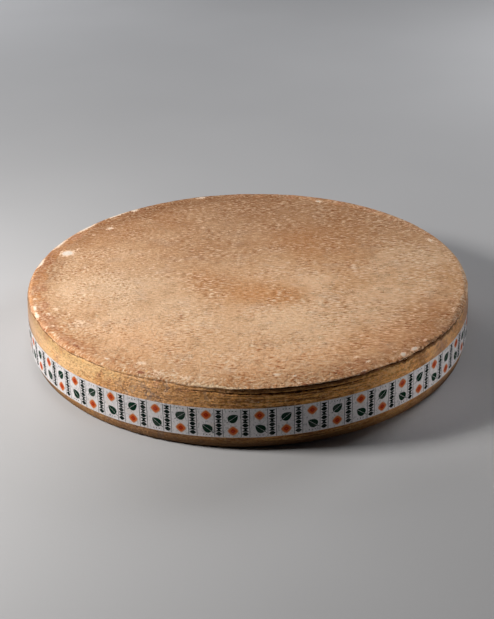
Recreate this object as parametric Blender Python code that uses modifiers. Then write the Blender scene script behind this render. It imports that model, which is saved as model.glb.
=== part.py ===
"""A whole wheel of hard cheese with its paper label band.

Metres, +Z up. The origin is the middle of the flat base, and the front is towards -Y.
The wheel is one turned solid whose rind is uneven: a lip that the press leaves round the top,
with a slope down to it at the front, a crack under it, a recess with a crease at its foot below
the crack, worn stretches, a soft wave in the top and an outline that isn't quite round.
The label is a thin ring round the side, and it follows the same outline.
"""

import math

import bpy
from mathutils import Vector, noise

# Turning
ROUND_STEPS = 144
MERGE_DISTANCE = 0.0001

# Wheel: main sizes
SIDE_RADIUS = 0.3192
TOP_MIDDLE_Z = 0.0968
TOP_CROWN = 0.0008
TOP_RING_RADII = (0.034, 0.068, 0.102, 0.136, 0.170, 0.205, 0.240, 0.275, 0.292)
BASE_FLAT_RADIUS = 0.3075

# Wheel: corners of the section
SHOULDER_ROUND = 0.0090
SHOULDER_REACH = 0.3181
SHOULDER_END_ANGLE = 15.0
FOOT_ROUND = 0.0090
FOOT_TAPER_ANGLE = 14.0

# Wheel: side, upright behind the label and drawn in above it
UPRIGHT_BOTTOM_Z = 0.0190
UPRIGHT_TOP_Z = 0.0660
UPPER_LEAN = 0.0022

# Lip round the top edge, and the uneven zone below it
LIP_Z = 0.0893
LIP_REACH = 0.0009
LIP_HALF_HEIGHT = 0.0045
UNEVEN_BOTTOM_Z = 0.0783

# Crack under the lip: its height at some angles, and half its height across
CRACK_PATH = (
    (-180.0, 0.0940), (-157.0, 0.0919), (-139.0, 0.0877), (-126.0, 0.0898), (-101.0, 0.0904), (-87.0, 0.0877),
    (-64.0, 0.0862), (-58.0, 0.0882), (-51.0, 0.0852), (-46.0, 0.0868), (-30.0, 0.0857), (-5.0, 0.0895),
    (60.0, 0.0868), (140.0, 0.0870), (180.0, 0.0940),
)
CRACK_HALF_HEIGHT = 0.0013

# Recess below the crack, and the crease along its foot
GROOVE_HEIGHT = 0.0085
CREASE_BELOW_CRACK = 0.0067
CREASE_HALF_HEIGHT = 0.0011

# Stretches of the rim, as middle angle and half width in degrees, then depth in metres
CRACK_STRETCHES = (
    (-148.0, 16.0, 0.0009), (-76.0, 15.0, 0.0030), (-42.0, 20.0, 0.0026), (24.0, 22.0, 0.0012),
    (96.0, 27.0, 0.0022), (155.0, 14.0, 0.0008),
)
CREASE_STRETCHES = ((-83.0, 17.0, 0.0034), (92.0, 18.0, 0.0016))
GROOVE_STRETCHES = ((-80.0, 18.0, 0.0017), (96.0, 25.0, 0.0015))
WORN_STRETCHES = ((-111.0, 9.0, 0.0014), (58.0, 10.0, 0.0012), (155.0, 18.0, 0.0012))

# Slope at the edge of the top: where it starts and ends, its curve, how near the edge comes to it,
# and its stretches with their share
SLOPE_START_RADIUS = 0.2820
SLOPE_END_Z = 0.0895
SLOPE_POWER = 1.7
SLOPE_STRETCHES = ((-88.0, 18.0, 1.0), (-60.0, 16.0, 1.0), (-38.0, 14.0, 0.8))
SLOPE_FIT = 0.94

# Unevenness
OUTLINE_SWELLS = ((2, 20.0, 0.00050), (3, 140.0, 0.00035), (5, 250.0, 0.00020))
TOP_WAVES = ((7.0, 0.0006), (19.0, 0.00025))
RAGGED_SCALE = 60.0
RAGGED_DEPTH = 0.0007
SIDE_DENT_SCALE = 28.0
SIDE_DENT_DEPTH = 0.0006

# Label band
LABEL_GAP = 0.0003
LABEL_THICKNESS = 0.0005
LABEL_BOTTOM_Z = 0.0200
LABEL_TOP_Z = 0.0621
LABEL_SLOPE = 0.0092

# Materials: colour, roughness and metallic value
RIND = ((0.52, 0.31, 0.16), 0.75, 0.0)
PAPER = ((0.78, 0.73, 0.70), 0.60, 0.0)


def clear_scene():
    """Remove whatever the file holds."""
    for item in list(bpy.data.objects):
        bpy.data.objects.remove(item, do_unlink=True)


def smooth_between(value, low, high):
    """0 at low and 1 at high, with an eased path between them."""
    share = min(1.0, max(0.0, (value - low) / (high - low)))
    return share * share * (3.0 - 2.0 * share)


def bell(angle, middle, half_width):
    """1 at the middle angle, fading to nothing a few half widths away, all in degrees."""
    away = (angle - middle + 180.0) % 360.0 - 180.0
    return math.exp(-((away / half_width) ** 2))


def stretch_depth(stretches, angle):
    """Depth that a list of stretches of the rim gives at an angle."""
    return sum(depth * bell(angle, middle, half_width) for middle, half_width, depth in stretches)


def arc(centre, radius, start, end, count):
    """Points of a round corner between two angles, in degrees from the outward direction."""
    points = []
    for i in range(count):
        angle = math.radians(start + (end - start) * i / (count - 1))
        points.append((centre[0] + radius * math.cos(angle), centre[1] + radius * math.sin(angle)))
    return points


def rows_between(high, low, count):
    """Even heights from high to low, without the first."""
    return [high + (low - high) * (i + 1) / count for i in range(count)]


def side_radius(z):
    """Radius of the side at a height above the foot."""
    lean = max(0.0, z - UPRIGHT_TOP_Z) / (LIP_Z - UPRIGHT_TOP_Z)
    return SIDE_RADIUS - UPPER_LEAN * lean ** 2


def wheel_section():
    """Half section of the wheel, from the middle of the top down the side to the middle of the base."""
    flat_edge = SHOULDER_REACH - SHOULDER_ROUND
    shoulder_top_z = TOP_MIDDLE_Z - TOP_CROWN
    top = [(radius, TOP_MIDDLE_Z - TOP_CROWN * (radius / flat_edge) ** 2) for radius in (0.0, *TOP_RING_RADII)]
    shoulder_middle = (flat_edge, shoulder_top_z - SHOULDER_ROUND)
    shoulder = arc(shoulder_middle, SHOULDER_ROUND, 90.0, SHOULDER_END_ANGLE, 10)
    groove = [(side_radius(z), z) for z in rows_between(LIP_Z, UNEVEN_BOTTOM_Z, 11)]
    side = [(side_radius(z), z) for z in (0.0725, UPRIGHT_TOP_Z, 0.0420, UPRIGHT_BOTTOM_Z)]
    foot = arc((BASE_FLAT_RADIUS, FOOT_ROUND), FOOT_ROUND, -FOOT_TAPER_ANGLE, -90.0, 5)
    base = [(BASE_FLAT_RADIUS * 0.5, 0.0), (0.0, 0.0)]
    return top + shoulder + groove + side + foot + base


def label_section():
    """Section of the label band: a thin upright strip."""
    inner = SIDE_RADIUS + LABEL_GAP
    outer = inner + LABEL_THICKNESS
    return [(inner, LABEL_TOP_Z), (outer, LABEL_TOP_Z), (outer, LABEL_BOTTOM_Z), (inner, LABEL_BOTTOM_Z)]


def outline_swell(angle):
    """How far the wheel's outline stands out from a circle at an angle."""
    return sum(height * math.cos(math.radians(waves * angle - phase)) for waves, phase, height in OUTLINE_SWELLS)


def crack_height(angle):
    """Height of the crack at an angle, eased between the points of its path."""
    for (start, low), (end, high) in zip(CRACK_PATH, CRACK_PATH[1:]):
        if start <= angle <= end:
            return low + (high - low) * smooth_between(angle, start, end)
    return CRACK_PATH[0][1]


def cleft(away, half_height):
    """1 at the middle of a crack or crease, 0 from its half height on."""
    share = min(1.0, abs(away) / half_height)
    return (1.0 - share * share) ** 2


def crack_cut(angle, below):
    """Depth of the crack under the lip and of the crease at the foot of the recess."""
    crack = stretch_depth(CRACK_STRETCHES, angle) * cleft(below, CRACK_HALF_HEIGHT)
    crease = stretch_depth(CREASE_STRETCHES, angle) * cleft(below - CREASE_BELOW_CRACK, CREASE_HALF_HEIGHT)
    return crack + crease


def groove_cut(angle, below):
    """Depth of the shallow recess below the crack, at a distance below it."""
    share = below / GROOVE_HEIGHT
    if not 0.0 < share < 1.0:
        return 0.0
    return stretch_depth(GROOVE_STRETCHES, angle) * math.sin(math.pi * math.sqrt(share))


def lip_change(angle, below, point):
    """How far the lip stands out or is worn back: out over the recess, ragged, and back where worn."""
    near_lip = 1.0 - smooth_between(abs(below), 0.0, LIP_HALF_HEIGHT)
    overhang = LIP_REACH * min(1.0, stretch_depth(GROOVE_STRETCHES, angle) / GROOVE_STRETCHES[0][2])
    ragged = RAGGED_DEPTH * noise.noise(point * RAGGED_SCALE)
    return near_lip * (overhang + ragged - stretch_depth(WORN_STRETCHES, angle))


def side_dent(point):
    """Shallow hollows in the side. They only go inwards, so the label stays clear."""
    on_side = smooth_between(point.z, 0.0, FOOT_ROUND) * (1.0 - smooth_between(point.z, LIP_Z, TOP_MIDDLE_Z))
    return on_side * SIDE_DENT_DEPTH * max(0.0, noise.noise(point * SIDE_DENT_SCALE))


def top_wave(point):
    """Soft rise and fall of the top, gone by the lip."""
    on_top = smooth_between(point.z, LIP_Z, TOP_MIDDLE_Z - TOP_CROWN)
    flat = Vector((point.x, point.y, 0.0))
    return on_top * sum(height * noise.noise(flat * scale) for scale, height in TOP_WAVES)


def edge_slope(angle, radius, z):
    """How far the edge of the top comes down to its slope at an angle."""
    way = min(1.0, max(0.0, (radius - SLOPE_START_RADIUS) / (SHOULDER_REACH - SLOPE_START_RADIUS)))
    sloped_z = SLOPE_END_Z + (TOP_MIDDLE_Z - SLOPE_END_Z) * (1.0 - way ** SLOPE_POWER)
    share = min(1.0, stretch_depth(SLOPE_STRETCHES, angle))
    return share * SLOPE_FIT * max(0.0, z - sloped_z)


def weathered(point):
    """Place of a point of the turned wheel on the uneven one."""
    radius = math.hypot(point.x, point.y)
    direction = Vector((point.x, point.y, 0.0)).normalized()
    angle = math.degrees(math.atan2(point.y, point.x))
    change = outline_swell(angle) * radius / SIDE_RADIUS
    if radius > BASE_FLAT_RADIUS:
        below = crack_height(angle) - point.z
        cut = crack_cut(angle, below) + groove_cut(angle, below)
        change += lip_change(angle, below, point) - cut - side_dent(point)
    moved = direction * (radius + change)
    moved.z = point.z + top_wave(point) - edge_slope(angle, radius, point.z)
    return moved


def wrapped(point):
    """Place of a point of the turned label on the wheel's outline, with the strip's slight slope."""
    radius = math.hypot(point.x, point.y)
    direction = Vector((point.x, point.y, 0.0)).normalized()
    angle = math.degrees(math.atan2(point.y, point.x))
    moved = direction * (radius + outline_swell(angle) * radius / SIDE_RADIUS)
    moved.z = point.z + LABEL_SLOPE * point.x
    return moved


def surface(name, colour, roughness, metallic):
    """A plain Principled material."""
    material = bpy.data.materials.new(name)
    material.use_nodes = True
    shader = material.node_tree.nodes["Principled BSDF"]
    shader.inputs["Base Color"].default_value = (*colour, 1.0)
    shader.inputs["Roughness"].default_value = roughness
    shader.inputs["Metallic"].default_value = metallic
    return material


def turned(name, section, is_loop, place, material, collection):
    """A solid turned about Z from a section at +X, with each point then moved by the function place."""
    outline = bpy.data.meshes.new(name)
    links = [(i, i + 1) for i in range(len(section) - 1)]
    if is_loop:
        links.append((len(section) - 1, 0))
    outline.from_pydata([(radius, 0.0, z) for radius, z in section], links, [])
    item = bpy.data.objects.new(name, outline)
    collection.objects.link(item)

    turn = item.modifiers.new("turn", "SCREW")
    turn.axis = "Z"
    turn.steps = ROUND_STEPS
    turn.render_steps = ROUND_STEPS
    turn.use_merge_vertices = True
    turn.merge_threshold = MERGE_DISTANCE

    solid = bpy.data.meshes.new_from_object(item.evaluated_get(bpy.context.evaluated_depsgraph_get()))
    for vertex in solid.vertices:
        vertex.co = place(vertex.co.copy())
    item.modifiers.clear()
    item.data = solid
    bpy.data.meshes.remove(outline)

    solid.name = name
    solid.materials.clear()
    solid.materials.append(material)
    solid.shade_smooth()
    solid.set_sharp_from_angle(angle=math.radians(40.0))
    return item


def main():
    clear_scene()
    collection = bpy.data.collections.new("cheese wheel")
    bpy.context.scene.collection.children.link(collection)
    turned("cheese_wheel", wheel_section(), False, weathered, surface("rind", *RIND), collection)
    turned("label_band", label_section(), True, wrapped, surface("label paper", *PAPER), collection)


main()
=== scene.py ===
"""Looks of a whole wheel of hard cheese with its paper label band.

Metres, +Z up. The origin is the middle of the flat base, and the camera looks at the -Y side.
The rind repeats the solid's form: the same section, lip, groove, cracks, worn stretches and outline.
Finer rows carry finer relief on top of it. The label is a paper strip that overlaps itself at the
back, with printed shapes as thin plates of ink.
"""

import math

import bpy
from mathutils import Matrix, Vector, noise


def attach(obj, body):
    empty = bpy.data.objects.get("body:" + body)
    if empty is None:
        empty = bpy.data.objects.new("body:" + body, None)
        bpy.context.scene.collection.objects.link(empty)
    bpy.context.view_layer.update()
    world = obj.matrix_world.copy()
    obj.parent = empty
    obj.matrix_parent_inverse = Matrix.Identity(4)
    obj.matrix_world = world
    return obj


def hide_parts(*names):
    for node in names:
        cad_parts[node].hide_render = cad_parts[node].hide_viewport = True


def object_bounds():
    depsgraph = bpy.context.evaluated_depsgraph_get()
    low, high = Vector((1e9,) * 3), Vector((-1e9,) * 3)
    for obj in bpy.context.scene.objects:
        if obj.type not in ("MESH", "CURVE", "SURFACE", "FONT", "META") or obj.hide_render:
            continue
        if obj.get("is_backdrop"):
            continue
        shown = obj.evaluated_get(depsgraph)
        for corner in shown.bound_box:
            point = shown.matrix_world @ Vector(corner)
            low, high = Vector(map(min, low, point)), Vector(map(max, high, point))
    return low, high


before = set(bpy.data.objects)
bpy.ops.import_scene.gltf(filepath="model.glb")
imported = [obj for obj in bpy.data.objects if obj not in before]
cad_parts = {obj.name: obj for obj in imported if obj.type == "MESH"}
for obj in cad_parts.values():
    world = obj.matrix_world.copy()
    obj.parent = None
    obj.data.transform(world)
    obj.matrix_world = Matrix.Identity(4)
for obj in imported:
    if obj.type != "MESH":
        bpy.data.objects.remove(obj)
cad_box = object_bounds()

# Camera, as found from the photograph's outlines
EYE = Vector((-0.0018, -1.5824, 0.8502))
PITCH_DOWN = 27.23
ROLL = -1.21
FOCAL_LENGTH_MM = 69.79
SENSOR_MM = 36.0

# Wheel: section, as in the solid
SIDE_RADIUS = 0.3192
TOP_MIDDLE_Z = 0.0968
TOP_CROWN = 0.0008
BASE_FLAT_RADIUS = 0.3075
SHOULDER_ROUND = 0.009
SHOULDER_REACH = 0.3181
TOP_FLAT_RADIUS = SHOULDER_REACH - SHOULDER_ROUND
SHOULDER_END_ANGLE = 15.0
FOOT_ROUND = 0.009
FOOT_TAPER_ANGLE = 14.0
UPRIGHT_BOTTOM_Z = 0.019
UPRIGHT_TOP_Z = 0.066
UPPER_LEAN = 0.0022

# Wheel: lip, groove and unevenness, as in the solid
LIP_Z = 0.0893
LIP_REACH = 0.0009
LIP_HALF_HEIGHT = 0.0045
UNEVEN_BOTTOM_Z = 0.0783
GROOVE_HEIGHT = 0.0085
GROOVE_STRETCHES = ((-80, 18, 0.0017), (96, 25, 0.0015))
WORN_STRETCHES = ((-111, 9, 0.0014), (58, 10, 0.0012), (155, 18, 0.0012))
OUTLINE_SWELLS = ((2, 20, 0.0005), (3, 140, 0.00035), (5, 250, 0.0002))
TOP_WAVES = ((7, 0.0006), (19, 0.00025))
RAGGED_SCALE = 60.0
RAGGED_DEPTH = 0.0007
SIDE_DENT_SCALE = 28.0
SIDE_DENT_DEPTH = 0.0006

# Slope at the edge of the top, as in the solid: where it starts and ends, its curve, how near the edge
# comes to it, and its stretches with their share
SLOPE_START_RADIUS = 0.282
SLOPE_END_Z = 0.0895
SLOPE_POWER = 1.7
SLOPE_FIT = 0.94
SLOPE_STRETCHES = ((-88, 18, 1), (-60, 16, 1), (-38, 14, 0.8))

# Crack under the lip, as in the solid: its height at some angles, its half height and its depths
CRACK_PATH = (
    (-180, 0.094), (-157, 0.0919), (-139, 0.0877), (-126, 0.0898), (-101, 0.0904), (-87, 0.0877),
    (-64, 0.0862), (-58, 0.0882), (-51, 0.0852), (-46, 0.0868), (-30, 0.0857), (-5, 0.0895),
    (60, 0.0868), (140, 0.087), (180, 0.094),
)
CRACK_HALF_HEIGHT = 0.0013
CRACK_STRETCHES = (
    (-148, 16, 0.0009), (-76, 15, 0.003), (-42, 20, 0.0026), (24, 22, 0.0012),
    (96, 27, 0.0022), (155, 14, 0.0008),
)

# Wheel: mesh and fine relief, as scale per metre and height
GRID_HALF = 108
SHOULDER_ROWS = 16
CRUST_WAVES = ((48, 0.00022), (105, 0.0002), (200, 0.00016))
CRUST_SINK = 0.00022
PIT_SCALE = 62.0
PIT_REACH = 0.3
PIT_FREE_SHARE = 0.35
PIT_DEPTH = 0.0005
CRUMB_STRETCHES = ((-98, 10, 0.0012), (-72, 13, 0.0008), (-45, 14, 0.0007), (80, 25, 0.0009))
CRUMB_SCALES = (150, 310)
CREASE_STRETCHES = ((-83, 17, 0.0034), (92, 18, 0.0016))
CREASE_BELOW_CRACK = 0.0067
CREASE_HALF_HEIGHT = 0.0011
CRACK_WANDERS = ((9, 0.0007), (27, 0.00049))
CRACK_JAGS = ((33, 0.0025), (90, 0.00075))
JAGGED_STRETCHES = ((-34, 16, 1), (-50, 6, 0.5), (100, 25, 0.8))
BRANCH_DEPTH = 0.0016
BRANCH_ABOVE_CRACK = 0.0026
BRANCH_HALF_HEIGHT = 0.0009
CRACK_GAPS = ((-58.3, 1.6, 1), (-48.6, 0.9, 0.7), (-37, 0.9, 0.7), (-29, 1, 0.8), (70, 3, 0.8), (112, 2, 0.9))
CRACK_RAGGED_SCALE = 24.0
BRANCH_SCALE = 21.0
ROUGH_SIDE_SCALE = 85.0
ROUGH_SIDE_STRETCHES = ((-113, 14, 0.0009), (-60, 25, 0.0005), (60, 30, 0.0007))

# Pale patches of mould and dried rind: angle, radius, half width along the rim, half width across, strength
PATCHES = (
    (163.3, 0.2845, 0.0115, 0.0115, 1),
    (160, 0.276, 0.006, 0.004, 0.5),
    # The long thin patches along the far rim, from 171 to 126.5 degrees, are pale mould and partly a painted
    # rim highlight
    (171, 0.3115, 0.018, 0.0032, 0.8),
    (158, 0.311, 0.024, 0.0034, 0.8),
    (145, 0.3105, 0.024, 0.0038, 0.85),
    (133, 0.3105, 0.02, 0.0038, 0.85),
    (126.5, 0.308, 0.008, 0.005, 0.85),
    (141, 0.2785, 0.0065, 0.0055, 0.75),
    (148, 0.283, 0.004, 0.003, 0.6),
    (-158.9, 0.2845, 0.009, 0.004, 0.6),
    (-147.7, 0.27, 0.012, 0.008, 0.55),
    (-166.7, 0.3075, 0.004, 0.003, 0.8),
    (-161.6, 0.311, 0.008, 0.0025, 0.9),
    (-157.9, 0.313, 0.009, 0.0025, 1),
    (-156.8, 0.2975, 0.005, 0.0025, 0.8),
    (-149.8, 0.305, 0.003, 0.003, 0.65),
    (-126.7, 0.3055, 0.004, 0.003, 0.8),
    (-118, 0.293, 0.008, 0.005, 0.6),
    (-112, 0.306, 0.01, 0.006, 0.5),
    (-105, 0.306, 0.009, 0.006, 0.5),
    (-83.6, 0.2951, 0.0052, 0.0032, 0.75),
    (-79.4, 0.3005, 0.0029, 0.0023, 0.85),
    (-78.7, 0.3138, 0.0033, 0.0016, 0.65),
    (-76.3, 0.3155, 0.0033, 0.0016, 0.54),
    (-62.1, 0.2902, 0.0047, 0.0032, 0.65),
    (-60.3, 0.3032, 0.0052, 0.002, 0.8),
    (-62.9, 0.316, 0.0047, 0.0014, 0.8),
    (-50.9, 0.313, 0.0043, 0.0036, 1.15),
    (-46.9, 0.313, 0.0066, 0.0027, 1.15),
    (-42, 0.3095, 0.0033, 0.004, 0.63),
    (-32.8, 0.265, 0.004, 0.0035, 0.55),
    (-24.3, 0.307, 0.0085, 0.0036, 0.54),
    (20, 0.3, 0.01, 0.005, 0.7),
    (66, 0.296, 0.008, 0.006, 0.75),
    (104, 0.306, 0.012, 0.003, 0.8),
)
PATCH_LEAST_RADIUS = 0.24
PATCH_LEAST_Z = 0.082
PATCH_HEIGHT = 0.00025

# Reddish scabs on the lip, in the same terms, where the radius goes on down the side
SCABS = (
    (-63.3, 0.3185, 0.006, 0.0035, 1),
    (-59.5, 0.3195, 0.0045, 0.0025, 0.8),
    (-53.3, 0.3195, 0.0045, 0.0025, 0.7),
    (-51.3, 0.3235, 0.0025, 0.005, 0.55),
    (-77.4, 0.3175, 0.003, 0.002, 0.8),
    (-116, 0.312, 0.006, 0.003, 0.8),
    (-137, 0.308, 0.011, 0.004, 0.6),
    (75, 0.313, 0.008, 0.003, 0.8),
    (140, 0.312, 0.007, 0.003, 0.7),
)
SCAB_HEIGHT = 0.0012

# Soft round areas of the top by the name of their look, each as x, y and half width
TOP_AREAS = {
    "stain": ((-0.052, -0.026, 0.037), (0.002, -0.07, 0.036), (0.05, -0.078, 0.03), (0.09, 0.12, 0.07)),
    # Dusky areas darken the top: browner zones, and towards the back a painted cast shadow
    "brown_zone_and_shadow": (
        (0, 0.27, 0.1), (-0.045, 0.07, 0.08), (0.215, -0.15, 0.055), (-0.285, 0.01, 0.045),
        (-0.045, -0.036, 0.03),
    ),
    "ruddy": (
        (0.02, -0.285, 0.055), (0.1, -0.265, 0.05), (0.17, -0.24, 0.05), (0.22, -0.19, 0.05),
        (0.265, -0.115, 0.035), (-0.155, -0.2, 0.06),
    ),
    # Pale and hazy areas brighten the near and left part of the top: paler rind and painted light
    "pale": ((-0.05, -0.18, 0.09), (0.06, -0.22, 0.07)),
    "haze_and_painted_light": ((-0.17, -0.04, 0.12),),
}

# Stretches of the side by the name of their look, each as middle angle, half width and strength
SIDE_LOOKS = {
    "streaky": ((-78, 19, 1), (30, 25, 0.4), (95, 30, 0.9)),
    "speckled": ((-116, 12, 1), (60, 20, 0.8), (160, 15, 0.7)),
    "blotchy": ((-41, 17, 1), (140, 30, 0.8)),
    # Grey rind; near -9 degrees also painted shade at the side's right edge
    "grey": ((-167, 16, 1), (-9, 14, 1), (-37, 6, 0.5), (112, 14, 0.5)),
    "torn": ((-115, 12, 1),),
    "hairline": ((-150, 19, 1), (-130, 9, 0.8), (-108, 9, 0.8), (-40, 26, 1), (30, 22, 0.8), (135, 30, 0.9)),
}

# Stretches that change with the height or radius too, in the same terms
YELLOW_SIDE = ((-142, 22, 1.1), (-48, 10, 0.3), (20, 25, 0.7), (130, 20, 0.6))
YELLOW_LEAN = 420.0
TINTED_RIM = ((-166, 34, 0.8), (150, 30, 0.4), (60, 40, 0.4), (-60, 30, 0.4))
# Pale flakes on the lip's edge, partly a painted highlight
FLAKY_LIP_AND_HIGHLIGHT = ((-97, 8, 1.3), (-48, 6, 0.6), (85, 20, 0.7))
# Where painted shade darkens the low side towards the foot
FOOT_SHADE = ((-85, 35, 0.5), (-155, 16, 0.35), (-31, 15, 0.6))
# Where painted shade darkens the side just under the rim
UNDER_RIM = ((-150, 20, 0.5), (-172, 8, 0.6))
# Halos of grime and painted shade on the top above the crack
CRACK_HALOS = ((-37, 17, 1), (100, 25, 0.8))
DARK_RIM = ((-142, 26, 0.4), (-110, 14, 0.3), (-76, 15, 0.6), (-35, 25, 0.5), (118, 32, 1), (172, 20, 1))

# Where looks begin and are whole, as radii, x, y, heights and depths
RIM_TINT_RADII = (0.28, 0.303)
DARK_RIM_RADII = (0.255, 0.295)
RIM_EDGE_RADII = (0.3105, 0.3155)
OUTER_RADII = (0.2, 0.27)
OUTER_X = (-0.24, -0.12)
LEVEL_END_RADII = (0.28, 0.305)
LEVEL_X = (-0.2, -0.08)
# Far half of the top: browner rind, and painted shade where the top lies further from the lamps
FAR_Y = (-0.06, 0.26)
FLAKY_RADII = (0.305, 0.31)
HALO_RADII = (0.302, 0.314)
FOOT_END_Z = (0.006, 0.03)
UNDER_END_DROP = (0.004, 0.018)
# Crack depths over which its dark colour, dirt and painted shade, comes in
CRACK_DIRT_AND_SHADE_DEPTHS = (0.0002, 0.0014)
# Crack depth at which the grime and painted shade round it are whole
GRIME_AND_SHADE_WHOLE_DEPTH = 0.0024
# Recess depth at which its painted shade is whole
RECESS_WHOLE_DEPTH = 0.0012

# Label strip
STRIP_SEAM_ANGLE = 57.0
STRIP_OVERLAP_ANGLE = 3.0
STRIP_STEPS = 880
STRIP_ROWS = 12
STRIP_GAP = 0.00012
STRIP_THICKNESS = 0.0002
STRIP_WAVE = 0.00012
STRIP_EDGE_WANDER = 0.00025
STRIP_LIFT_ANGLE = 7.0
SHARP_ANGLE = 50.0
LABEL_BOTTOM_Z = 0.02
LABEL_TOP_Z = 0.0621
LABEL_SLOPE = 0.0092

# Print on the label, with sizes in a cell in millimetres
CELL_COUNT = 60
INK_HEIGHT = 0.00007
INK_SINK = 0.00006
FIELD_MIDDLE = 11.0
COLUMN_MIDDLE = 26.6
RULE_AWAY = 5.4
STRIP_MIDDLE = 21.0

# Studio lights: place, size, power, colour, and where it has a narrow beam, its angle and what it faces
LIGHT_AIM = (0.0, 0.0, 0.06)
LIGHTS = {
    "key light": ((-1.18, -0.25, 0.86), 0.3, 21.5, (1.0, 0.975, 0.94)),
    "fill light": ((0.95, -0.9, 0.3), 0.15, 0.033, (1.0, 0.97, 0.94), 15.0, (0.235, -0.215, 0.05)),
    "back light": ((2.0, 1.6, 1.0), 1.0, 35.0, (0.97, 0.98, 1.0)),
    "far light": ((-1.3, 2.6, 1.3), 1.4, 26.0, (0.97, 0.98, 1.0)),
}
SURROUND_COLOUR = (0.9, 0.93, 1.0, 1.0)
SURROUND_STRENGTH = 0.006


def eased(value, low, high):
    """0 at low and 1 at high, with an eased path between them."""
    share = min(1.0, max(0.0, (value - low) / (high - low)))
    return share * share * (3.0 - 2.0 * share)


def bell(angle, middle, half_width):
    """1 at the middle angle, fading to nothing a few half widths away, all in degrees."""
    away = (angle - middle + 180.0) % 360.0 - 180.0
    return math.exp(-((away / half_width) ** 2))


def stretch_depth(stretches, angle):
    """Depth that a list of stretches of the rim gives at an angle."""
    return sum(depth * bell(angle, middle, half_width) for middle, half_width, depth in stretches)


def stretch_share(stretches, angle):
    """The same sum as a share, 1 at most."""
    return min(1.0, stretch_depth(stretches, angle))


def waves_height(waves, point):
    """Height that a list of waves of noise gives at a point."""
    return sum(height * noise.noise(point * scale) for scale, height in waves)


def arc(centre, radius, start, end, count):
    """Points of a round corner between two angles, in degrees from the outward direction."""
    points = []
    for i in range(count):
        angle = math.radians(start + (end - start) * i / (count - 1))
        points.append((centre[0] + radius * math.cos(angle), centre[1] + radius * math.sin(angle)))
    return points


def rows_between(high, low, count):
    """Even heights from high to low, without the first."""
    return [high + (low - high) * (i + 1) / count for i in range(count)]


def polar(angle, radius, z):
    """Point at an angle in degrees."""
    turn = math.radians(angle)
    return Vector((radius * math.cos(turn), radius * math.sin(turn), z))


# Form of the wheel

def side_radius(z):
    """Radius of the side at a height above the foot."""
    lean = max(0.0, z - UPRIGHT_TOP_Z) / (LIP_Z - UPRIGHT_TOP_Z)
    return SIDE_RADIUS - UPPER_LEAN * lean ** 2


def outer_section():
    """Section from just outside the top's flat down the side to the edge of the base."""
    middle = (TOP_FLAT_RADIUS, TOP_MIDDLE_Z - TOP_CROWN - SHOULDER_ROUND)
    shoulder = arc(middle, SHOULDER_ROUND, 90.0, SHOULDER_END_ANGLE, SHOULDER_ROWS)[1:]
    heights = rows_between(LIP_Z, UNEVEN_BOTTOM_Z, 20)
    heights += rows_between(UNEVEN_BOTTOM_Z, LABEL_TOP_Z, 9)
    heights += rows_between(LABEL_TOP_Z, UPRIGHT_BOTTOM_Z, 3)
    foot = arc((BASE_FLAT_RADIUS, FOOT_ROUND), FOOT_ROUND, -FOOT_TAPER_ANGLE, -90.0, 7)
    return shoulder + [(side_radius(z), z) for z in heights] + foot


def outline_swell(angle):
    """How far the wheel's outline stands out from a circle at an angle."""
    turns = [(math.radians(waves * angle - phase), height) for waves, phase, height in OUTLINE_SWELLS]
    return sum(height * math.cos(turn) for turn, height in turns)


def crack_height(angle):
    """Height of the crack at an angle, eased between the points of its path."""
    for (start, low), (end, high) in zip(CRACK_PATH, CRACK_PATH[1:]):
        if start <= angle <= end:
            return low + (high - low) * eased(angle, start, end)
    return CRACK_PATH[0][1]


def cleft(away, half_height):
    """1 at the middle of a crack or crease, 0 from its half height on."""
    share = min(1.0, abs(away) / half_height)
    return (1.0 - share * share) ** 2


def groove_cut(angle, below):
    """Depth of the shallow recess below the crack, at a distance below it."""
    share = below / GROOVE_HEIGHT
    if not 0.0 < share < 1.0:
        return 0.0
    return stretch_depth(GROOVE_STRETCHES, angle) * math.sin(math.pi * math.sqrt(share))


def lip_change(angle, below, point):
    """How far the lip stands out or is worn back: out over the recess, ragged, and back where worn."""
    near_lip = 1.0 - eased(abs(below), 0.0, LIP_HALF_HEIGHT)
    overhang = LIP_REACH * min(1.0, stretch_depth(GROOVE_STRETCHES, angle) / GROOVE_STRETCHES[0][2])
    ragged = RAGGED_DEPTH * noise.noise(point * RAGGED_SCALE)
    return near_lip * (overhang + ragged - stretch_depth(WORN_STRETCHES, angle))


def side_dent(point):
    """Shallow hollows in the side. They only go inwards, so the label stays clear."""
    on_side = eased(point.z, 0.0, FOOT_ROUND)
    on_side *= 1.0 - eased(point.z, LIP_Z, TOP_MIDDLE_Z)
    return on_side * SIDE_DENT_DEPTH * max(0.0, noise.noise(point * SIDE_DENT_SCALE))


def top_wave(point):
    """Soft rise and fall of the top, gone by the lip."""
    on_top = eased(point.z, LIP_Z, TOP_MIDDLE_Z - TOP_CROWN)
    flat = Vector((point.x, point.y, 0.0))
    return on_top * waves_height(TOP_WAVES, flat)


def edge_slope(angle, radius, z):
    """How far the edge of the top comes down to its slope at an angle."""
    way = min(1.0, max(0.0, (radius - SLOPE_START_RADIUS) / (SHOULDER_REACH - SLOPE_START_RADIUS)))
    sloped_z = SLOPE_END_Z + (TOP_MIDDLE_Z - SLOPE_END_Z) * (1.0 - way ** SLOPE_POWER)
    return stretch_share(SLOPE_STRETCHES, angle) * SLOPE_FIT * max(0.0, z - sloped_z)


# Fine relief of the rind

def pit_depth(point):
    """Scattered shallow pits."""
    distances, centres = noise.voronoi(point * PIT_SCALE)
    if noise.cell(centres[0] * 7.3) < PIT_FREE_SHARE or distances[0] > PIT_REACH:
        return 0.0
    return PIT_DEPTH * (1.0 - (distances[0] / PIT_REACH) ** 2)


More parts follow.
